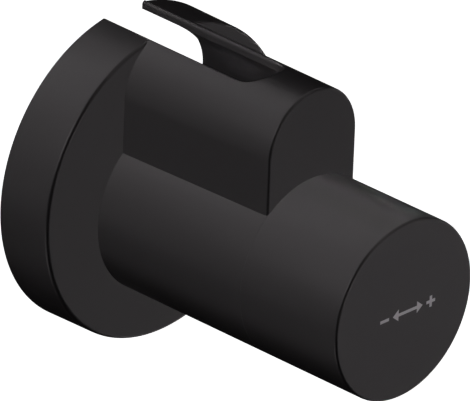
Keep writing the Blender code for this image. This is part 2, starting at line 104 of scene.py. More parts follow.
OUTLET_DEPTH = 38.0 * MM
OUTLET_TOP = 20.0 * MM
BRANCH_RADIUS = 8.2 * MM
BRANCH_FOOT = 9.5 * MM
RISER_RADIUS = 5.15 * MM
SOCKET_FLOOR = 11.5 * MM
PORT_RADIUS = 4.05 * MM
PORT_FOOT = 0.5 * MM
OUTLET_FLATS = 19.0 * MM
OUTLET_NUT_BOTTOM = 15.5 * MM
OUTLET_NUT_TOP = 27.0 * MM
GASKET_GAP_HALF = 17.0 * MM
BARREL_RADIUS = 13.0 * MM
BARREL_FRONT = 50.2 * MM
COLLAR_FLATS = 26.0 * MM
COLLAR_BACK = 3.0 * MM
COLLAR_NECK = 7.0 * MM
COLLAR_FRONT = 9.0 * MM
COLLAR_WAIST = 11.8 * MM
MOUTH_RADIUS = 10.9 * MM
MOUTH_BACK = 43.2 * MM
CHAMBER_RADIUS = 9.0 * MM
CHAMBER_FLOOR = 29.0 * MM
SEAT_RIM = 6.6 * MM
SEAT_DEPTH = 30.0 * MM
SEAT_BORE = 4.5 * MM
SEAT_CONE = 27.5 * MM
INLET_BORE = 6.5 * MM
INLET_FLOOR = 25.5 * MM
TAIL_ROOT = 9.45 * MM
TAIL_CREST = 10.35 * MM
TAIL_END = -14.0 * MM
THREAD_PITCH = 1.814 * MM

HEADWORK_BACK = 43.5 * MM
HEADWORK_FRONT = 64.0 * MM
HEADWORK_NECK = 7.4 * MM
HEADWORK_THREAD = 10.6 * MM
HEADWORK_FLATS = 22.0 * MM
FLANGE_BACK = 51.0 * MM
FLANGE_FRONT = 55.5 * MM
GUIDE_FLATS = 11.6 * MM
GUIDE_END = 54.4 * MM
BEARING_RADIUS = 4.2 * MM
BEARING_BACK = 54.0 * MM
ORING_DEPTHS = {"spindle_oring_rear": 56.6 * MM, "spindle_oring_front": 60.4 * MM}
GRIP_DEPTHS = {"grip_oring_rear": 17.6 * MM, "grip_oring_front": 21.4 * MM}
SPLINE_TEETH = 12
SPLINE_OUTER = 3.9 * MM
SPLINE_INNER = 3.3 * MM

LIGHT_SIZE = 0.55
LIGHT_GAIN = 1.15
LIGHT_TINT = (1.0, 0.94, 0.967)
LIGHT_DISTANCE = 1.0
LIGHT_TARGET = Vector((0, -0.04, 0))
# azimuth, elevation, watts and the pieces that the soft box lights
LIGHTS = (
    (105, 30, 2.4475, "skin"), (165, 30, 2.0794, "skin"), (-15, -5, 1.3994, "skin"),
    (-75, -5, 1.1423, "skin"), (-75, -40, 1.0634, "skin"), (-90, 60, 1.0086, "skin"),
    (180, 60, 0.9441, "skin"), (0, 60, 0.8784, "skin"), (105, -40, 0.7803, "skin"),
    (135, -5, 0.5194, "skin"), (135, -40, 0.0814, "skin"),
    (-135, 60, 0.6315, "handle"), (-45, -5, 0.5766, "handle"), (-135, 30, 0.5089, "handle"),
    (-135, -5, 0.1685, "handle"),
    (50, 45, 9.0, "inner"), (-60, 30, 6.0, "inner"), (150, 40, 7.0, "inner"), (-120, 20, 5.0, "inner"),
    (0, -30, 5.0, "inner"), (95, -10, 5.0, "inner"), (0, 85, 7.0, "inner"), (180, -20, 4.0, "inner"),
)

FLOOR_DROP = 0.25
FLOOR_HALF = 4.0
CAMERA_ANGLES = (46.70, 26.45, 2.257)      # azimuth to the left, elevation and roll
CAMERA_LENS = 953.7702                     # millimetres on the sensor below
CAMERA_SENSOR = 36.0
CAMERA_DISTANCE = 2.613331
CAMERA_AIM = Vector((0, -0.06667, 0))
CAMERA_SHIFT = (0.022995, -0.017155)       # the camera stands this far left of and above the aim
CAMERA_REACH = 20.0

FINE = 240                   # sides of a full turn on the visible skins
MEDIUM = 160
COARSE = 128
SMALL = 96


# ---------------------------------------------------------------- meshes

def to_mesh(bm, name):
    bmesh.ops.recalc_face_normals(bm, faces=bm.faces)
    mesh = bpy.data.meshes.new(name)
    bm.to_mesh(mesh)
    bm.free()
    return mesh


def loft(name, loops):
    """Closed solid through loops of equally many points, capped at both ends."""
    bm = bmesh.new()
    rings = [[bm.verts.new(p) for p in loop] for loop in loops]
    count = len(rings[0])
    for low, high in zip(rings, rings[1:]):
        for i in range(count):
            j = (i + 1) % count
            bm.faces.new((low[i], low[j], high[j], high[i]))
    bm.faces.new(rings[0])
    bm.faces.new(rings[-1])
    return to_mesh(bm, name)


def turned(name, profile, steps=FINE, centre=(0.0, 0.0)):
    """A solid of revolution about z through centre from (radius, depth) points, front to back."""
    bm = bmesh.new()
    rings = []
    for radius, depth in profile:
        if radius == 0.0:
            rings.append([bm.verts.new((centre[0], centre[1], depth))])
            continue
        ring = []
        for k in range(steps):
            angle = 2 * math.pi * k / steps
            ring.append(bm.verts.new((centre[0] + radius * math.cos(angle),
                                      centre[1] + radius * math.sin(angle), depth)))
        rings.append(ring)
    pairs = list(zip(rings, rings[1:]))
    if len(rings[0]) > 1:
        pairs.append((rings[-1], rings[0]))
    for first, second in pairs:
        for k in range(steps):
            j = (k + 1) % steps
            corners = [first[k % len(first)], first[j % len(first)],
                       second[j % len(second)], second[k % len(second)]]
            corners = [c for i, c in enumerate(corners) if c not in corners[:i]]
            if len(corners) > 2:
                bm.faces.new(corners)
    return to_mesh(bm, name)


def rounded(corner_radius, corner_depth, edge, outward=1, forward=1, steps=6):
    """Points of a quarter round on a turned profile's corner, from its face to its side."""
    centre_r = corner_radius - outward * edge
    centre_d = corner_depth - forward * edge
    return [(centre_r + outward * edge * math.sin(a), centre_d + forward * edge * math.cos(a))
            for a in (math.pi / 2 * k / steps for k in range(steps + 1))]


def obround(half, top, floor, depth, steps=96):
    """The housing's section: straight sides and a half-round top."""
    spring = top - half
    points = [(-half, floor, depth), (half, floor, depth)]
    for k in range(steps + 1):
        angle = math.pi * k / steps
        points.append((half * math.cos(angle), spring + half * math.sin(angle), depth))
    return points


def hexagon(name, flats, start, end, chamfer=0.0):
    """A hexagonal prism along z whose corners are turned down by a cone at each end."""
    corner = flats / 2 / math.cos(math.pi / 6)
    bm = bmesh.new()
    bmesh.ops.create_cone(bm, cap_ends=True, segments=6, radius1=corner, radius2=corner, depth=end - start,
                          matrix=Matrix.Translation((0, 0, (start + end) / 2)))
    mesh = to_mesh(bm, name)
    if not chamfer:
        return mesh
    inner = flats / 2 - 0.2 * MM
    outer = corner + 0.1 * MM
    drop = (corner - inner) * chamfer
    cone = turned(name + "_cone", [(0.0, end), (inner, end), (outer, end - drop),
                                   (outer, start + drop), (inner, start), (0.0, start)], SMALL)
    block_object = work_object(name, mesh)
    combine(block_object, work_object(name + "_cone", cone), "INTERSECT")
    return baked(block_object)


def helix_ridge(name, root, crest, pitch, start, end, steps=64):
    """A closed helical thread ridge that fades into the root at both ends."""
    sunk, faded = root - 0.3 * MM, root - 0.15 * MM
    foot_half, crest_half = 0.46, 0.08
    bm = bmesh.new()
    turns = abs(end - start) / pitch
    count = int(turns * steps)
    rings = []
    for i in range(count + 1):
        share = i / count
        angle = 2 * math.pi * turns * share
        depth = start + (end - start) * share
        fade = min(1.0, share * turns * 2, (1 - share) * turns * 2)
        top = faded + (crest - faded) * fade
        ring = []
        for radius, offset in ((sunk, -foot_half), (top, -crest_half), (top, crest_half), (sunk, foot_half)):
            ring.append(bm.verts.new((radius * math.cos(angle), radius * math.sin(angle),
                                      depth + offset * pitch)))
        rings.append(ring)
    for low, high in zip(rings, rings[1:]):
        for i in range(4):
            j = (i + 1) % 4
            bm.faces.new((low[i], low[j], high[j], high[i]))
    bm.faces.new(rings[0])
    bm.faces.new(rings[-1])
    return to_mesh(bm, name)


# ---------------------------------------------------------------- objects

def work_object(name, mesh):
    obj = bpy.data.objects.new(name, mesh)
    bpy.context.scene.collection.objects.link(obj)
    return obj


def combine(target, operand, operation="DIFFERENCE"):
    boolean = target.modifiers.new(operand.name, "BOOLEAN")
    boolean.operation = operation
    boolean.solver = "EXACT"
    boolean.object = operand


def baked(obj):
    """The object's evaluated mesh; the object and its boolean operands are removed."""
    operands = [m.object for m in obj.modifiers if m.type == "BOOLEAN"]
    evaluated = obj.evaluated_get(bpy.context.evaluated_depsgraph_get())
    mesh = bpy.data.meshes.new_from_object(evaluated)
    bpy.data.objects.remove(obj)
    for operand in operands:
        bpy.data.objects.remove(operand)
    return mesh


def solid(name, base, *steps):
    """Booleans in order on a base mesh: each step is (mesh, operation)."""
    obj = work_object(name, base)
    for index, (mesh, operation) in enumerate(steps):
        combine(obj, work_object(f"{name}_tool_{index}", mesh), operation)
    return baked(obj)


def piece(name, mesh, material, body, nodes=(), place=AXIS, sharp=32):
    """A shown piece of the object: smooth shaded, riding on its body, standing for CAD nodes."""
    mesh.name = name
    mesh.transform(place)
    mesh.materials.clear()
    mesh.materials.append(material)
    for polygon in mesh.polygons:
        polygon.material_index = 0
    mesh.shade_smooth()
    mesh.set_sharp_from_angle(angle=math.radians(sharp))
    obj = work_object(name, mesh)
    weighted = obj.modifiers.new("normals", "WEIGHTED_NORMAL")
    weighted.mode = "FACE_AREA"
    weighted.weight = 80
    weighted.keep_sharp = True
    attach(obj, body)
    if nodes:
        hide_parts(*nodes)
    return obj


# ---------------------------------------------------------------- materials

class Nodes:
    """Short names for the node calls that the materials share."""

    def __init__(self, name):
        self.material = bpy.data.materials.new(name)
        self.material.use_nodes = True
        self.tree = self.material.node_tree
        self.shader = self.tree.nodes["Principled BSDF"]
        self.coords = self.tree.nodes.new("ShaderNodeTexCoord").outputs["Object"]

    def noise(self, scale, detail=3.0, roughness=0.5, coords=None):
        node = self.tree.nodes.new("ShaderNodeTexNoise")
        node.inputs["Scale"].default_value = scale
        node.inputs["Detail"].default_value = detail
        node.inputs["Roughness"].default_value = roughness
        self.tree.links.new(coords or self.coords, node.inputs["Vector"])
        return node.outputs["Fac"]

    def spread(self, value, low, high):
        node = self.tree.nodes.new("ShaderNodeMapRange")
        node.inputs["From Min"].default_value = 0.3
        node.inputs["From Max"].default_value = 0.7
        node.inputs["To Min"].default_value = low
        node.inputs["To Max"].default_value = high
        self.tree.links.new(value, node.inputs["Value"])
        return node.outputs["Result"]

    def colours(self, value, low, high):
        node = self.tree.nodes.new("ShaderNodeMix")
        node.data_type = "RGBA"
        node.inputs["A"].default_value = (*low, 1)
        node.inputs["B"].default_value = (*high, 1)
        self.tree.links.new(value, node.inputs["Factor"])
        return node.outputs["Result"]

    def stretched(self, scale):
        node = self.tree.nodes.new("ShaderNodeMapping")
        node.inputs["Scale"].default_value = scale
        self.tree.links.new(self.coords, node.inputs["Vector"])
        return node.outputs["Vector"]

    def bump(self, height, strength, distance):
        node = self.tree.nodes.new("ShaderNodeBump")
        node.inputs["Strength"].default_value = strength
        node.inputs["Distance"].default_value = distance
        self.tree.links.new(height, node.inputs["Height"])
        self.tree.links.new(node.outputs["Normal"], self.shader.inputs["Normal"])

    def set(self, **values):
        for key, value in values.items():
            socket = self.shader.inputs[key.replace("_", " ")]
            if hasattr(value, "is_output"):
                self.tree.links.new(value, socket)
            elif isinstance(value, tuple):
                socket.default_value = (*value, 1)
            else:
                socket.default_value = value


def satin_black():
    n = Nodes("satin_black")
    cloud = n.noise(55, 2)
    n.set(Base_Color=n.colours(cloud, (0.0080, 0.0074, 0.0078), (0.0092, 0.0086, 0.0090)),
          Roughness=n.spread(n.noise(240, 3), 0.38, 0.42), Specular_IOR_Level=0.5)
    n.bump(n.noise(2600, 2), 0.06, 0.00002)
    return n.material


# Painted shade for the cover's inside: a dull black with almost no specular reflection stands in for the
# shade in the hollow, which the shadowless lights don't cast.
def inside_black():
    n = Nodes("inside_black")
    n.set(Base_Color=n.colours(n.noise(120), (0.0100, 0.0096, 0.0099), (0.0130, 0.0125, 0.0129)),
          Roughness=n.spread(n.noise(600), 0.38, 0.44), Specular_IOR_Level=0.03)
    n.bump(n.noise(2600, 2), 0.08, 0.00002)
    return n.material


def black_plastic():
    n = Nodes("black_plastic")
    n.set(Base_Color=n.colours(n.noise(90), (0.020, 0.020, 0.021), (0.030, 0.030, 0.031)),
          Roughness=n.spread(n.noise(900), 0.48, 0.62))
    n.bump(n.noise(5200, 2), 0.15, 0.00003)
    return n.material


def rubber():
    n = Nodes("rubber")
    n.set(Base_Color=n.colours(n.noise(300), (0.013, 0.013, 0.014), (0.024, 0.024, 0.025)),
          Roughness=n.spread(n.noise(1500), 0.70, 0.85))
    n.bump(n.noise(6500, 3), 0.25, 0.00004)
    return n.material


def ptfe():
    n = Nodes("ptfe")
    n.set(Base_Color=n.colours(n.noise(400), (0.80, 0.80, 0.77), (0.86, 0.86, 0.84)),
          Roughness=n.spread(n.noise(900), 0.36, 0.48))
    n.bump(n.noise(5000, 2), 0.08, 0.00002)
    return n.material


def metal(name, dark, light, rough_low, rough_high, lathe=0.10):
    """Turned metal: faint tool rings along the valve axis and a slow change in colour."""
    n = Nodes(name)
    rings = n.noise(1.0, 4, 0.6, n.stretched((120, 9000, 120)))
    n.set(Base_Color=n.colours(n.noise(160), dark, light), Metallic=1.0,
          Roughness=n.spread(rings, rough_low, rough_high))
    n.bump(rings, lathe, 0.00001)
    return n.material


def mark_paint():
    n = Nodes("mark_paint")
    n.set(Base_Color=n.colours(n.noise(700), (0.56, 0.56, 0.57), (0.64, 0.64, 0.65)),
          Roughness=n.spread(n.noise(2500), 0.45, 0.60))
    n.bump(n.noise(7000, 2), 0.10, 0.00001)
    return n.material


BLACK = satin_black()
INSIDE_SHADE = inside_black()
PLASTIC = black_plastic()
RUBBER = rubber()
PTFE = ptfe()
CHROME = metal("chrome", (0.74, 0.75, 0.77), (0.80, 0.81, 0.83), 0.20, 0.28, 0.03)
BRASS = metal("brass", (0.62, 0.43, 0.19), (0.72, 0.53, 0.26), 0.22, 0.36)
STEEL = metal("steel", (0.50, 0.51, 0.52), (0.58, 0.59, 0.60), 0.22, 0.34)
PAINT = mark_paint()


# ---------------------------------------------------------------- cover

def housing_loops(inset, start, end, floor, edge=0.0):
    """Sections of the housing from wall to front; the front edge is rounded where edge is given."""
    def section(depth, shrink):
        share = depth / HOUSING_DEPTH
        half = HOUSING_HALF_BACK + (HOUSING_HALF_FRONT - HOUSING_HALF_BACK) * share
        top = HOUSING_TOP_BACK + (HOUSING_TOP_FRONT - HOUSING_TOP_BACK) * share
        return obround(half - inset - shrink, top - inset - shrink, floor, depth)
    loops = [section(start, 0.0)]
    if edge:
        for k in range(9):
            angle = math.pi / 2 * k / 8
            loops.append(section(end - edge + edge * math.sin(angle), edge * (1 - math.cos(angle))))
    else:
        loops.append(section(end, 0.0))
    return loops


def outer_height(x, depth):
    """Height of the cover's outside above the valve axis, over the slot's surroundings."""
    share = max(depth, 0.0) / HOUSING_DEPTH
    half = HOUSING_HALF_BACK + (HOUSING_HALF_FRONT - HOUSING_HALF_BACK) * share
    top = HOUSING_TOP_BACK + (HOUSING_TOP_FRONT - HOUSING_TOP_BACK) * share
    height = top - half + math.sqrt(half * half - x * x)
    if depth < ROSETTE_DEPTH - ROSETTE_EDGE:
        height = max(height, ROSETTE_RISE + math.sqrt(ROSETTE_RADIUS ** 2 - x * x) - ROSETTE_DRAFT)
    return height


def slot_path():
    """The slot in plan with its outward directions: up one side, round the end and back."""
    straight = 44
    length = SLOT_END - SLOT_OPEN
    points = []
    for k in range(straight):
        points.append(((-SLOT_HALF, SLOT_OPEN + length * k / straight), (-1.0, 0.0)))
    for k in range(49):
        angle = math.pi - math.pi * k / 48
        away = (math.cos(angle), math.sin(angle))
        points.append(((SLOT_HALF * away[0], SLOT_END + SLOT_HALF * away[1]), away))
    for k in range(straight - 1, -1, -1):
        points.append(((SLOT_HALF, SLOT_OPEN + length * k / straight), (1.0, 0.0)))
    return points


def slot_cutter():
    """Cuts the slot and rounds its outer edge: above the straight wall the cutter flares out."""
    path = slot_path()
    loops = [[(p[0], SLOT_FLOOR, p[1]) for p, away in path]]
    for k in range(9):
        angle = math.radians(86) * k / 8
        loop = []
        for p, away in path:
            edge = SLOT_EDGE_RIGHT + (SLOT_EDGE_LEFT - SLOT_EDGE_RIGHT) * (1 - away[0]) / 2
            x = p[0] + away[0] * edge * (1 - math.cos(angle))
            depth = p[1] + away[1] * edge * (1 - math.cos(angle))
            rim = p[0] + away[0] * edge
            sunk = outer_height(rim, p[1] + away[1] * edge) - edge + edge * math.sin(angle)
            loop.append((x, min(sunk, outer_height(x, depth)), depth))
        loops.append(loop)
    loops.append([(p[0], SLOT_TOP, p[2]) for p in loops[-1]])
    return loft("slot_cutter", loops)


def is_inside(point):
    """Whether a point in the model's frame belongs to the cover's inner surfaces, which get the painted
    shade of the hollow.
    """
    x, depth, height = point.x, -point.y, point.z
    skin = INNER_SHARE * HOUSING_WALL
    rim = ROSETTE_RADIUS - INNER_SHARE * RIM_WALL
    half = HOUSING_HALF_BACK + (HOUSING_HALF_FRONT - HOUSING_HALF_BACK) * max(depth, 0.0) / HOUSING_DEPTH
    if math.hypot(x, height) < SLEEVE_RADIUS - skin:
        return True
    if depth < ROSETTE_DEPTH - skin and math.hypot(x, height - ROSETTE_RISE) < rim:
        return True
    return (depth < HOUSING_DEPTH - skin and 0.0 < height and abs(x) < half - skin
            and height < outer_height(x, depth) - skin)


def make_cover():
    front = ROSETTE_RADIUS - ROSETTE_DRAFT
    rise = (0.0, ROSETTE_RISE)
    foot = ROSETTE_DEPTH - 8 * MM
    disc = turned("disc", [(0.0, ROSETTE_DEPTH), *rounded(front, ROSETTE_DEPTH, ROSETTE_EDGE),
                           *reversed(rounded(ROSETTE_RADIUS, 0.0, BACK_EDGE, 1, -1, 4)),
                           (0.0, 0.0)], FINE, rise)
    sleeve = turned("sleeve", [(0.0, HOUSING_DEPTH), (SLEEVE_RADIUS, HOUSING_DEPTH),
                               (SLEEVE_RADIUS, foot), (0.0, foot)])
    housing = loft("housing", housing_loops(0.0, 0.0, HOUSING_DEPTH, 0.0, HOUSING_EDGE))
    inner = ROSETTE_RADIUS - RIM_WALL
    floor = ROSETTE_DEPTH - WALL
    hollow = turned("hollow", [(0.0, floor), *rounded(inner, floor, ROSETTE_EDGE), (inner, -WALL),
                               (0.0, -WALL)], FINE, rise)
    bore_radius = SLEEVE_RADIUS - WALL
    bore = turned("bore", [(0.0, HOUSING_DEPTH + WALL), (bore_radius, HOUSING_DEPTH + WALL),
                           (bore_radius, -WALL), (0.0, -WALL)])
    groove_radius = bore_radius + GROOVE_BITE
    groove = turned("groove", [(0.0, GROOVE_FRONT), (groove_radius, GROOVE_FRONT),
                               (groove_radius, GROOVE_BACK), (0.0, GROOVE_BACK)])
    room = loft("room", housing_loops(HOUSING_WALL, -WALL, HOUSING_DEPTH - WALL, 2 * MM))
    width, height, length = 60 * MM, 40 * MM, 20 * MM
    bulkhead = block("bulkhead", (width, height, length),
                     (0, BULKHEAD_TOP - height / 2, RING_START + length / 2))
    room = solid("room", room, (bulkhead, "DIFFERENCE"))
    mesh = solid("cover", disc, (sleeve, "UNION"), (housing, "UNION"), (hollow, "DIFFERENCE"),
                 (bore, "DIFFERENCE"), (room, "DIFFERENCE"), (groove, "DIFFERENCE"),
                 (slot_cutter(), "DIFFERENCE"))
    cover = piece("cover_shell", mesh, BLACK, "cover", ["cover_housing"], sharp=28)
    # The cover's inner faces get the painted shade of the hollow.
    cover.data.materials.append(INSIDE_SHADE)
    for polygon in cover.data.polygons:
        if all(is_inside(cover.data.vertices[v].co) for v in polygon.vertices):
            polygon.material_index = 1


def make_handle():
    back = HOUSING_DEPTH + SEAM
    face = HANDLE_FRONT - MARK_HEIGHT
    bore = SLEEVE_RADIUS - WALL
    profile = [(0.0, face), *rounded(SLEEVE_RADIUS, face, HANDLE_EDGE, steps=8), (SLEEVE_RADIUS, back),
               (bore, back), (bore, HANDLE_FRONT - WALL), (0.0, HANDLE_FRONT - WALL)]
    piece("handle_cap", turned("handle_cap", profile), BLACK, "handle", ["handle_shell"],
          sharp=28)


# ---------------------------------------------------------------- valve

def block(name, size, centre):
    bm = bmesh.new()
    bmesh.ops.create_cube(bm, size=1.0, matrix=Matrix.Translation(centre) @ Matrix.Diagonal((*size, 1.0)))
    return to_mesh(bm, name)


def upright(mesh):
    """Stands a mesh that was drawn along z on the outlet's vertical axis."""
    mesh.transform(Matrix.Translation((0, 0, OUTLET_DEPTH)) @ UPRIGHT)
    return mesh


def joined(name, *meshes):
    """One mesh from several solids that only touch or sink into each other."""
    bm = bmesh.new()
    for mesh in meshes:
        bm.from_mesh(mesh)
    return to_mesh(bm, name)


def spline_loop(grow, depth):
    """One section of the spindle's toothed head."""
    loop = []
    for k in range(SPLINE_TEETH):
        for offset, radius in ((-0.30, SPLINE_INNER), (-0.16, SPLINE_OUTER),
                               (0.16, SPLINE_OUTER), (0.30, SPLINE_INNER)):
            angle = 2 * math.pi * (k + offset) / SPLINE_TEETH
            loop.append(((radius + grow) * math.cos(angle), (radius + grow) * math.sin(angle), depth))
    return loop


def make_valve_body():
    lead, past = 0.4 * MM, 0.1 * MM
    front, root = BARREL_FRONT, TAIL_ROOT
    outside = [(0.0, front), (BARREL_RADIUS - lead, front), (BARREL_RADIUS, front - lead),
               (BARREL_RADIUS, COLLAR_NECK), (COLLAR_WAIST, COLLAR_NECK), (COLLAR_WAIST, COLLAR_BACK),
               (root, COLLAR_BACK), (root, TAIL_END + lead), (root - lead, TAIL_END), (0.0, TAIL_END)]
    inside = [(0.0, front + MM), (MOUTH_RADIUS, front + MM), (MOUTH_RADIUS, MOUTH_BACK),
              (CHAMBER_RADIUS, MOUTH_BACK), (CHAMBER_RADIUS, CHAMBER_FLOOR), (SEAT_RIM, CHAMBER_FLOOR),
              (SEAT_RIM, SEAT_DEPTH), (SEAT_BORE, SEAT_DEPTH), (SEAT_BORE, SEAT_CONE),
              (INLET_BORE, INLET_FLOOR), (INLET_BORE, TAIL_END + lead),
              (INLET_BORE + lead, TAIL_END - past), (0.0, TAIL_END - past)]
    branch = [(0.0, OUTLET_TOP), (BRANCH_RADIUS - lead, OUTLET_TOP), (BRANCH_RADIUS, OUTLET_TOP - lead),
              (BRANCH_RADIUS, BRANCH_FOOT), (0.0, BRANCH_FOOT)]
    socket = [(0.0, OUTLET_TOP + MM), (RISER_RADIUS, OUTLET_TOP + MM), (RISER_RADIUS, SOCKET_FLOOR),
              (PORT_RADIUS, SOCKET_FLOOR), (PORT_RADIUS, PORT_FOOT), (0.0, PORT_FOOT)]
    mesh = solid("valve", turned("barrel", outside, MEDIUM),
                 (hexagon("collar", COLLAR_FLATS, COLLAR_BACK, COLLAR_FRONT, 0.55), "UNION"),
                 (upright(turned("branch", branch, COARSE)), "UNION"),
                 (turned("chamber", inside, MEDIUM), "DIFFERENCE"),
                 (upright(turned("socket", socket, COARSE)), "DIFFERENCE"))
    thread = helix_ridge("thread", root, TAIL_CREST, THREAD_PITCH, -0.2 * MM, TAIL_END + 1.2 * MM)
    piece("valve_casting", joined("valve_casting", mesh, thread), CHROME, "valve", ["valve_body"],
          sharp=25)


def make_inlet_seal():
    inner, middle, outer, edge = TAIL_CREST + 0.3 * MM, 11.0 * MM, 13.4 * MM, 0.6 * MM
    back, front, lead = 0.8 * MM, 2.7 * MM, 0.4 * MM
    seal = [(inner, back + lead), (inner, front - lead), (middle, front), *rounded(outer, front, edge),
            *reversed(rounded(outer, back, edge, 1, -1)), (middle, back)]
    piece("inlet_seal", turned("inlet_seal", seal, COARSE), RUBBER, "valve", ["inlet_seal_ring"])


def make_outlet_nut():
    hole, lead, olive_room, thread = 5.25 * MM, 0.4 * MM, 6.9 * MM, 8.5 * MM
    above, below = OUTLET_NUT_TOP + 3 * MM, OUTLET_NUT_BOTTOM - 1.5 * MM
    bore = [(0.0, above), (hole + lead, above), (hole + lead, OUTLET_NUT_TOP + 0.01 * MM),
            (hole, OUTLET_NUT_TOP - lead), (hole, 25.6 * MM), (olive_room, 24.6 * MM),
            (olive_room, 21.6 * MM), (thread, 21.2 * MM), (thread, below), (0.0, below)]
    mesh = solid("nut", hexagon("nut_block", OUTLET_FLATS, OUTLET_NUT_BOTTOM, OUTLET_NUT_TOP, 0.6),
                 (turned("nut_hole", bore, COARSE), "DIFFERENCE"))
    piece("compression_nut", mesh, CHROME, "valve", ["outlet_nut"], sharp=25,
          place=Matrix.Translation((0, -OUTLET_DEPTH, 0)))


def make_headwork():
    back, front, neck, lead = HEADWORK_BACK, HEADWORK_FRONT, HEADWORK_NECK, 0.4 * MM
    shoulder = FLANGE_FRONT - MM
    outside = [(0.0, front), (neck - lead, front), (neck, front - lead), (neck, shoulder),
               (HEADWORK_THREAD, shoulder), (HEADWORK_THREAD, back), (0.0, back)]
    bearing = [(0.0, front + MM), (BEARING_RADIUS + lead, front + 0.01 * MM), (BEARING_RADIUS, front - lead),
               (BEARING_RADIUS, BEARING_BACK), (0.0, BEARING_BACK)]
    mesh = solid("headwork", turned("gland", outside, COARSE),
                 (hexagon("flange", HEADWORK_FLATS, FLANGE_BACK, FLANGE_FRONT, 0.55), "UNION"),
                 (hexagon("guide", GUIDE_FLATS, back - MM, GUIDE_END), "DIFFERENCE"),
                 (turned("bearing", bearing, SMALL), "DIFFERENCE"))
    piece("gland", mesh, BRASS, "valve", ["headwork_body"], sharp=25)


def make_spindle():
    tip, collar_back, collar_front, shoulder, end = 42.1 * MM, 51.2 * MM, 53.2 * MM, 65.4 * MM, 74.4 * MM
    circlip_back, circlip_front, circlip_root = 64.2 * MM, 65.2 * MM, 3.2 * MM
    journal, groove, half, collar, screw = 3.95 * MM, 2.8 * MM, 0.8 * MM, 5.2 * MM, 2.7 * MM
    profile = [(0.0, shoulder), (journal - 0.3 * MM, shoulder), (journal, shoulder - 0.1 * MM),
               (journal, circlip_front), (circlip_root, circlip_front), (circlip_root, circlip_back),
               (journal, circlip_back)]
    for depth in sorted(ORING_DEPTHS.values(), reverse=True):
        profile += [(journal, depth + half), (groove, depth + half),
                    (groove, depth - half), (journal, depth - half)]
    profile += [(journal, collar_front), (collar, collar_front), (collar, collar_back),
                (screw, collar_back), (screw, tip + 0.3 * MM), (screw - 0.3 * MM, tip), (0.0, tip)]
    lead = 0.35 * MM
    head = loft("head", [spline_loop(0.0, shoulder - 0.2 * MM), spline_loop(0.0, end - lead),
                         spline_loop(-lead, end)])
    stem = solid("stem", turned("stem_turned", profile, SMALL), (head, "UNION"))
    piece("spindle_stem", stem, BRASS, "spindle", ["spindle"], sharp=25)
    for name, depth in ORING_DEPTHS.items():
        oring(name, 3.5 * MM, 0.55 * MM, depth, "spindle")


def oring(name, ring_radius, wire, depth, body):
    """A round rubber ring."""
    profile = []
    sides = 24
    for k in range(sides):
        angle = math.pi / 2 - 2 * math.pi * k / sides
        profile.append((ring_radius + wire * math.cos(angle), depth + wire * math.sin(angle)))
    piece(name + "_round", turned(name, profile, MEDIUM), RUBBER, body, [name], sharp=60)


def make_centering_ring():
    outer, floor, half, edge = 18.1 * MM, 16.7 * MM, 0.9 * MM, 0.3 * MM
    back, front, inner = 15.8 * MM, 23.2 * MM, 13.3 * MM
    profile = [*rounded(outer, front, edge, steps=3)]
    for depth in sorted(GRIP_DEPTHS.values(), reverse=True):
        profile += [(outer, depth + half), (floor, depth + half),
                    (floor, depth - half), (outer, depth - half)]
    profile += [*reversed(rounded(outer, back, edge, 1, -1, 3)), (inner, back), (inner, front)]
    piece("carrier_ring", turned("carrier_ring", profile), PLASTIC, "valve", ["centering_ring"])
    for name, depth in GRIP_DEPTHS.items():
        oring(name, 17.55 * MM, 0.7 * MM, depth, "valve")


def make_wall_gasket():
    outer = ROSETTE_RADIUS - RIM_WALL - 0.3 * MM
    inner, front, edge = outer - 2.2 * MM, 1.5 * MM, 0.4 * MM
    profile = [*rounded(outer, front, edge, steps=4), (outer, 0.0), (inner, 0.0),
               *reversed(rounded(inner, front, edge, -1, 1, 4))]
    height, length = 50 * MM, 10 * MM
    gap = block("gap", (2 * GASKET_GAP_HALF, height, length), (0.0, 45 * MM, 0.0))
    ring = solid("gasket", turned("gasket_ring", profile, FINE, (0.0, ROSETTE_RISE)), (gap, "DIFFERENCE"))
    piece("gasket_strip", ring, RUBBER, "cover", ["wall_gasket"])


def make_handle_insert():
    shoulder, front, floor = HOUSING_DEPTH + MM, 75.5 * MM, 73 * MM
    outer, spigot, inner, hub, hub_back = 18.2 * MM, 17.5 * MM, 15.6 * MM, 8 * MM, 65.6 * MM
    back, snap, room, lead = 49.6 * MM, 51.4 * MM, 0.8 * MM, 0.3 * MM
    neck = spigot - 0.5 * MM
    profile = [(0.0, front), (outer, front), (outer, shoulder), (spigot, shoulder), (spigot, snap + room),
               (neck, snap + room), (neck, snap - room), (spigot, snap - room),
               (spigot, back + lead), (spigot - lead, back), (inner, back), (inner, floor),
               (hub, floor), (hub, hub_back + lead), (hub - lead, hub_back), (0.0, hub_back)]
    socket = loft("socket", [spline_loop(0.3 * MM, hub_back - MM), spline_loop(0.3 * MM, front + MM)])
    core = solid("core", turned("core", profile, MEDIUM), (socket, "DIFFERENCE"))
    piece("handle_core", core, PLASTIC, "handle", ["handle_insert"])


def dress_kept_nodes():
    """Small inner pieces keep their CAD solid and get the scene's own materials."""
    kept = {"handle_retaining_ring": STEEL, "handle_bush": PTFE, "outlet_olive": BRASS,
            "headwork_seal": RUBBER, "spindle_thrust_washer": PTFE, "spindle_circlip": STEEL,
            "plug_carrier": BRASS, "seat_washer": RUBBER, "washer_screw": STEEL}
    for name, material in kept.items():
        for slot in bpy.data.objects[name].material_slots:
            slot.material = material


# ---------------------------------------------------------------- turn mark

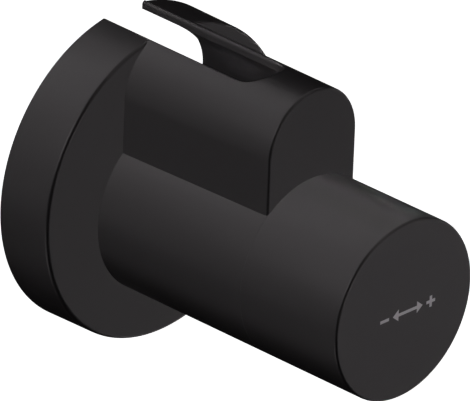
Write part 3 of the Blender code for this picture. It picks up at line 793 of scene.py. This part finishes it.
def make_turn_mark():
    """A raised print on the handle: minus, an arrow with two heads, plus."""
    base = HANDLE_FRONT - MARK_HEIGHT - 0.02 * MM
    centre_x, centre_y = 1.1 * MM, -0.6 * MM
    line, half_height = 0.7 * MM, 1.35 * MM
    half_width, arm, head = 8.3 * MM, 4.5 * MM, 1.7 * MM

    def bar(x0, x1, y0, y1):
        return [(x0, y0), (x1, y0), (x1, y1), (x0, y1)]

    def arrow():
        shaft, tip = line / 2, arm
        return [(-tip, 0), (-tip + head, -half_height), (-tip + head, -shaft), (tip - head, -shaft),
                (tip - head, -half_height), (tip, 0), (tip - head, half_height), (tip - head, shaft),
                (-tip + head, shaft), (-tip + head, half_height)]

    reach = 2.6 * MM
    plus_x = half_width - reach / 2
    thin = line / 2
    half = reach / 2
    plus = [(plus_x - half, -thin), (plus_x - thin, -thin), (plus_x - thin, -half), (plus_x + thin, -half),
            (plus_x + thin, -thin), (plus_x + half, -thin), (plus_x + half, thin), (plus_x + thin, thin),
            (plus_x + thin, half), (plus_x - thin, half), (plus_x - thin, thin), (plus_x - half, thin)]
    shapes = [bar(-half_width, -half_width + reach, -thin, thin), arrow(), plus]
    solids = []
    for index, outline in enumerate(shapes):
        solids.append(loft(f"mark_{index}", [[(x + centre_x, y + centre_y, z) for x, y in outline]
                                             for z in (base, HANDLE_FRONT)]))
    piece("turn_mark", joined("turn_mark", *solids), PAINT, "handle")


# ---------------------------------------------------------------- floor, light, camera

def make_floor():
    bm = bmesh.new()
    bmesh.ops.create_grid(bm, x_segments=1, y_segments=1, size=FLOOR_HALF)
    floor = work_object("studio_floor", to_mesh(bm, "studio_floor"))
    floor.location.z = cad_box[0][2] - FLOOR_DROP
    n = Nodes("studio_floor")
    n.set(Base_Color=(0.9, 0.9, 0.9), Roughness=0.9, Emission_Color=(1.0, 1.0, 1.0), Emission_Strength=1.2)
    floor.data.materials.append(n.material)
    floor.visible_diffuse = False
    floor.visible_glossy = False


def area_light(name, azimuth, elevation, power, group):
    """A shadowless soft box that looks at the object; azimuth 0 stands in front, positive to the left."""
    a, e = math.radians(azimuth), math.radians(elevation)
    away = Vector((-math.sin(a) * math.cos(e), -math.cos(a) * math.cos(e), math.sin(e)))
    data = bpy.data.lights.new(name, "AREA")
    data.shape = "SQUARE"
    data.size = LIGHT_SIZE
    data.energy = power * LIGHT_GAIN
    data.color = LIGHT_TINT
    data.use_shadow = False
    data.cycles.use_multiple_importance_sampling = False
    light = bpy.data.objects.new(name, data)
    bpy.context.scene.collection.objects.link(light)
    light.location = LIGHT_TARGET + away * LIGHT_DISTANCE
    light.rotation_euler = away.to_track_quat("Z", "Y").to_euler()
    light.light_linking.receiver_collection = group


def make_camera():
    """A long lens from the front left and above, with a slight roll."""
    azimuth, elevation, roll = map(math.radians, CAMERA_ANGLES)
    away = Vector((-math.sin(azimuth) * math.cos(elevation), -math.cos(azimuth) * math.cos(elevation),
                   math.sin(elevation)))
    right = Vector((math.cos(azimuth), -math.sin(azimuth), 0))
    up = away.cross(right)
    right, up = (right * math.cos(roll) + up * math.sin(roll), up * math.cos(roll) - right * math.sin(roll))
    data = bpy.data.cameras.new("camera")
    data.sensor_width = CAMERA_SENSOR
    data.lens = CAMERA_LENS
    data.clip_end = CAMERA_REACH
    camera = bpy.data.objects.new("camera", data)
    bpy.context.scene.collection.objects.link(camera)
    place = Matrix((right, up, away)).transposed().to_4x4()
    place.translation = CAMERA_AIM - right * CAMERA_SHIFT[0] - up * CAMERA_SHIFT[1] + away * CAMERA_DISTANCE
    camera.matrix_world = place
    bpy.context.scene.camera = camera


def lit_group(name, objects):
    """A collection that only tells lights which pieces they reach."""
    collection = bpy.data.collections.new(name)
    for obj in objects:
        collection.objects.link(obj)
    return collection


def make_light():
    world = bpy.data.worlds.new("studio")
    bpy.context.scene.world = world
    world.use_nodes = True
    world.node_tree.nodes["Background"].inputs["Color"].default_value = (1, 1, 1, 1)
    world.node_tree.nodes["Background"].inputs["Strength"].default_value = 1.0
    world.cycles_visibility.diffuse = False
    world.cycles_visibility.glossy = False
    skins = [bpy.data.objects[name] for name in ("cover_shell", "handle_cap", "turn_mark")]
    inner = [obj for obj in bpy.context.scene.objects
             if obj.type == "MESH" and obj not in skins and obj.name != "studio_floor"]
    groups = {"skin": lit_group("lit_skin", skins),
              "handle": lit_group("lit_handle", [bpy.data.objects["handle_cap"]]),
              "inner": lit_group("lit_inner", inner)}
    for index, (azimuth, elevation, power, group) in enumerate(LIGHTS):
        area_light(f"soft_box_{index:02d}", azimuth, elevation, power, groups[group])


make_cover()
make_handle()
make_handle_insert()
make_turn_mark()
make_wall_gasket()
make_valve_body()
make_inlet_seal()
make_outlet_nut()
make_headwork()
make_spindle()
make_centering_ring()
dress_kept_nodes()
make_floor()
make_light()
make_camera()
bpy.context.scene.view_settings.view_transform = "Standard"
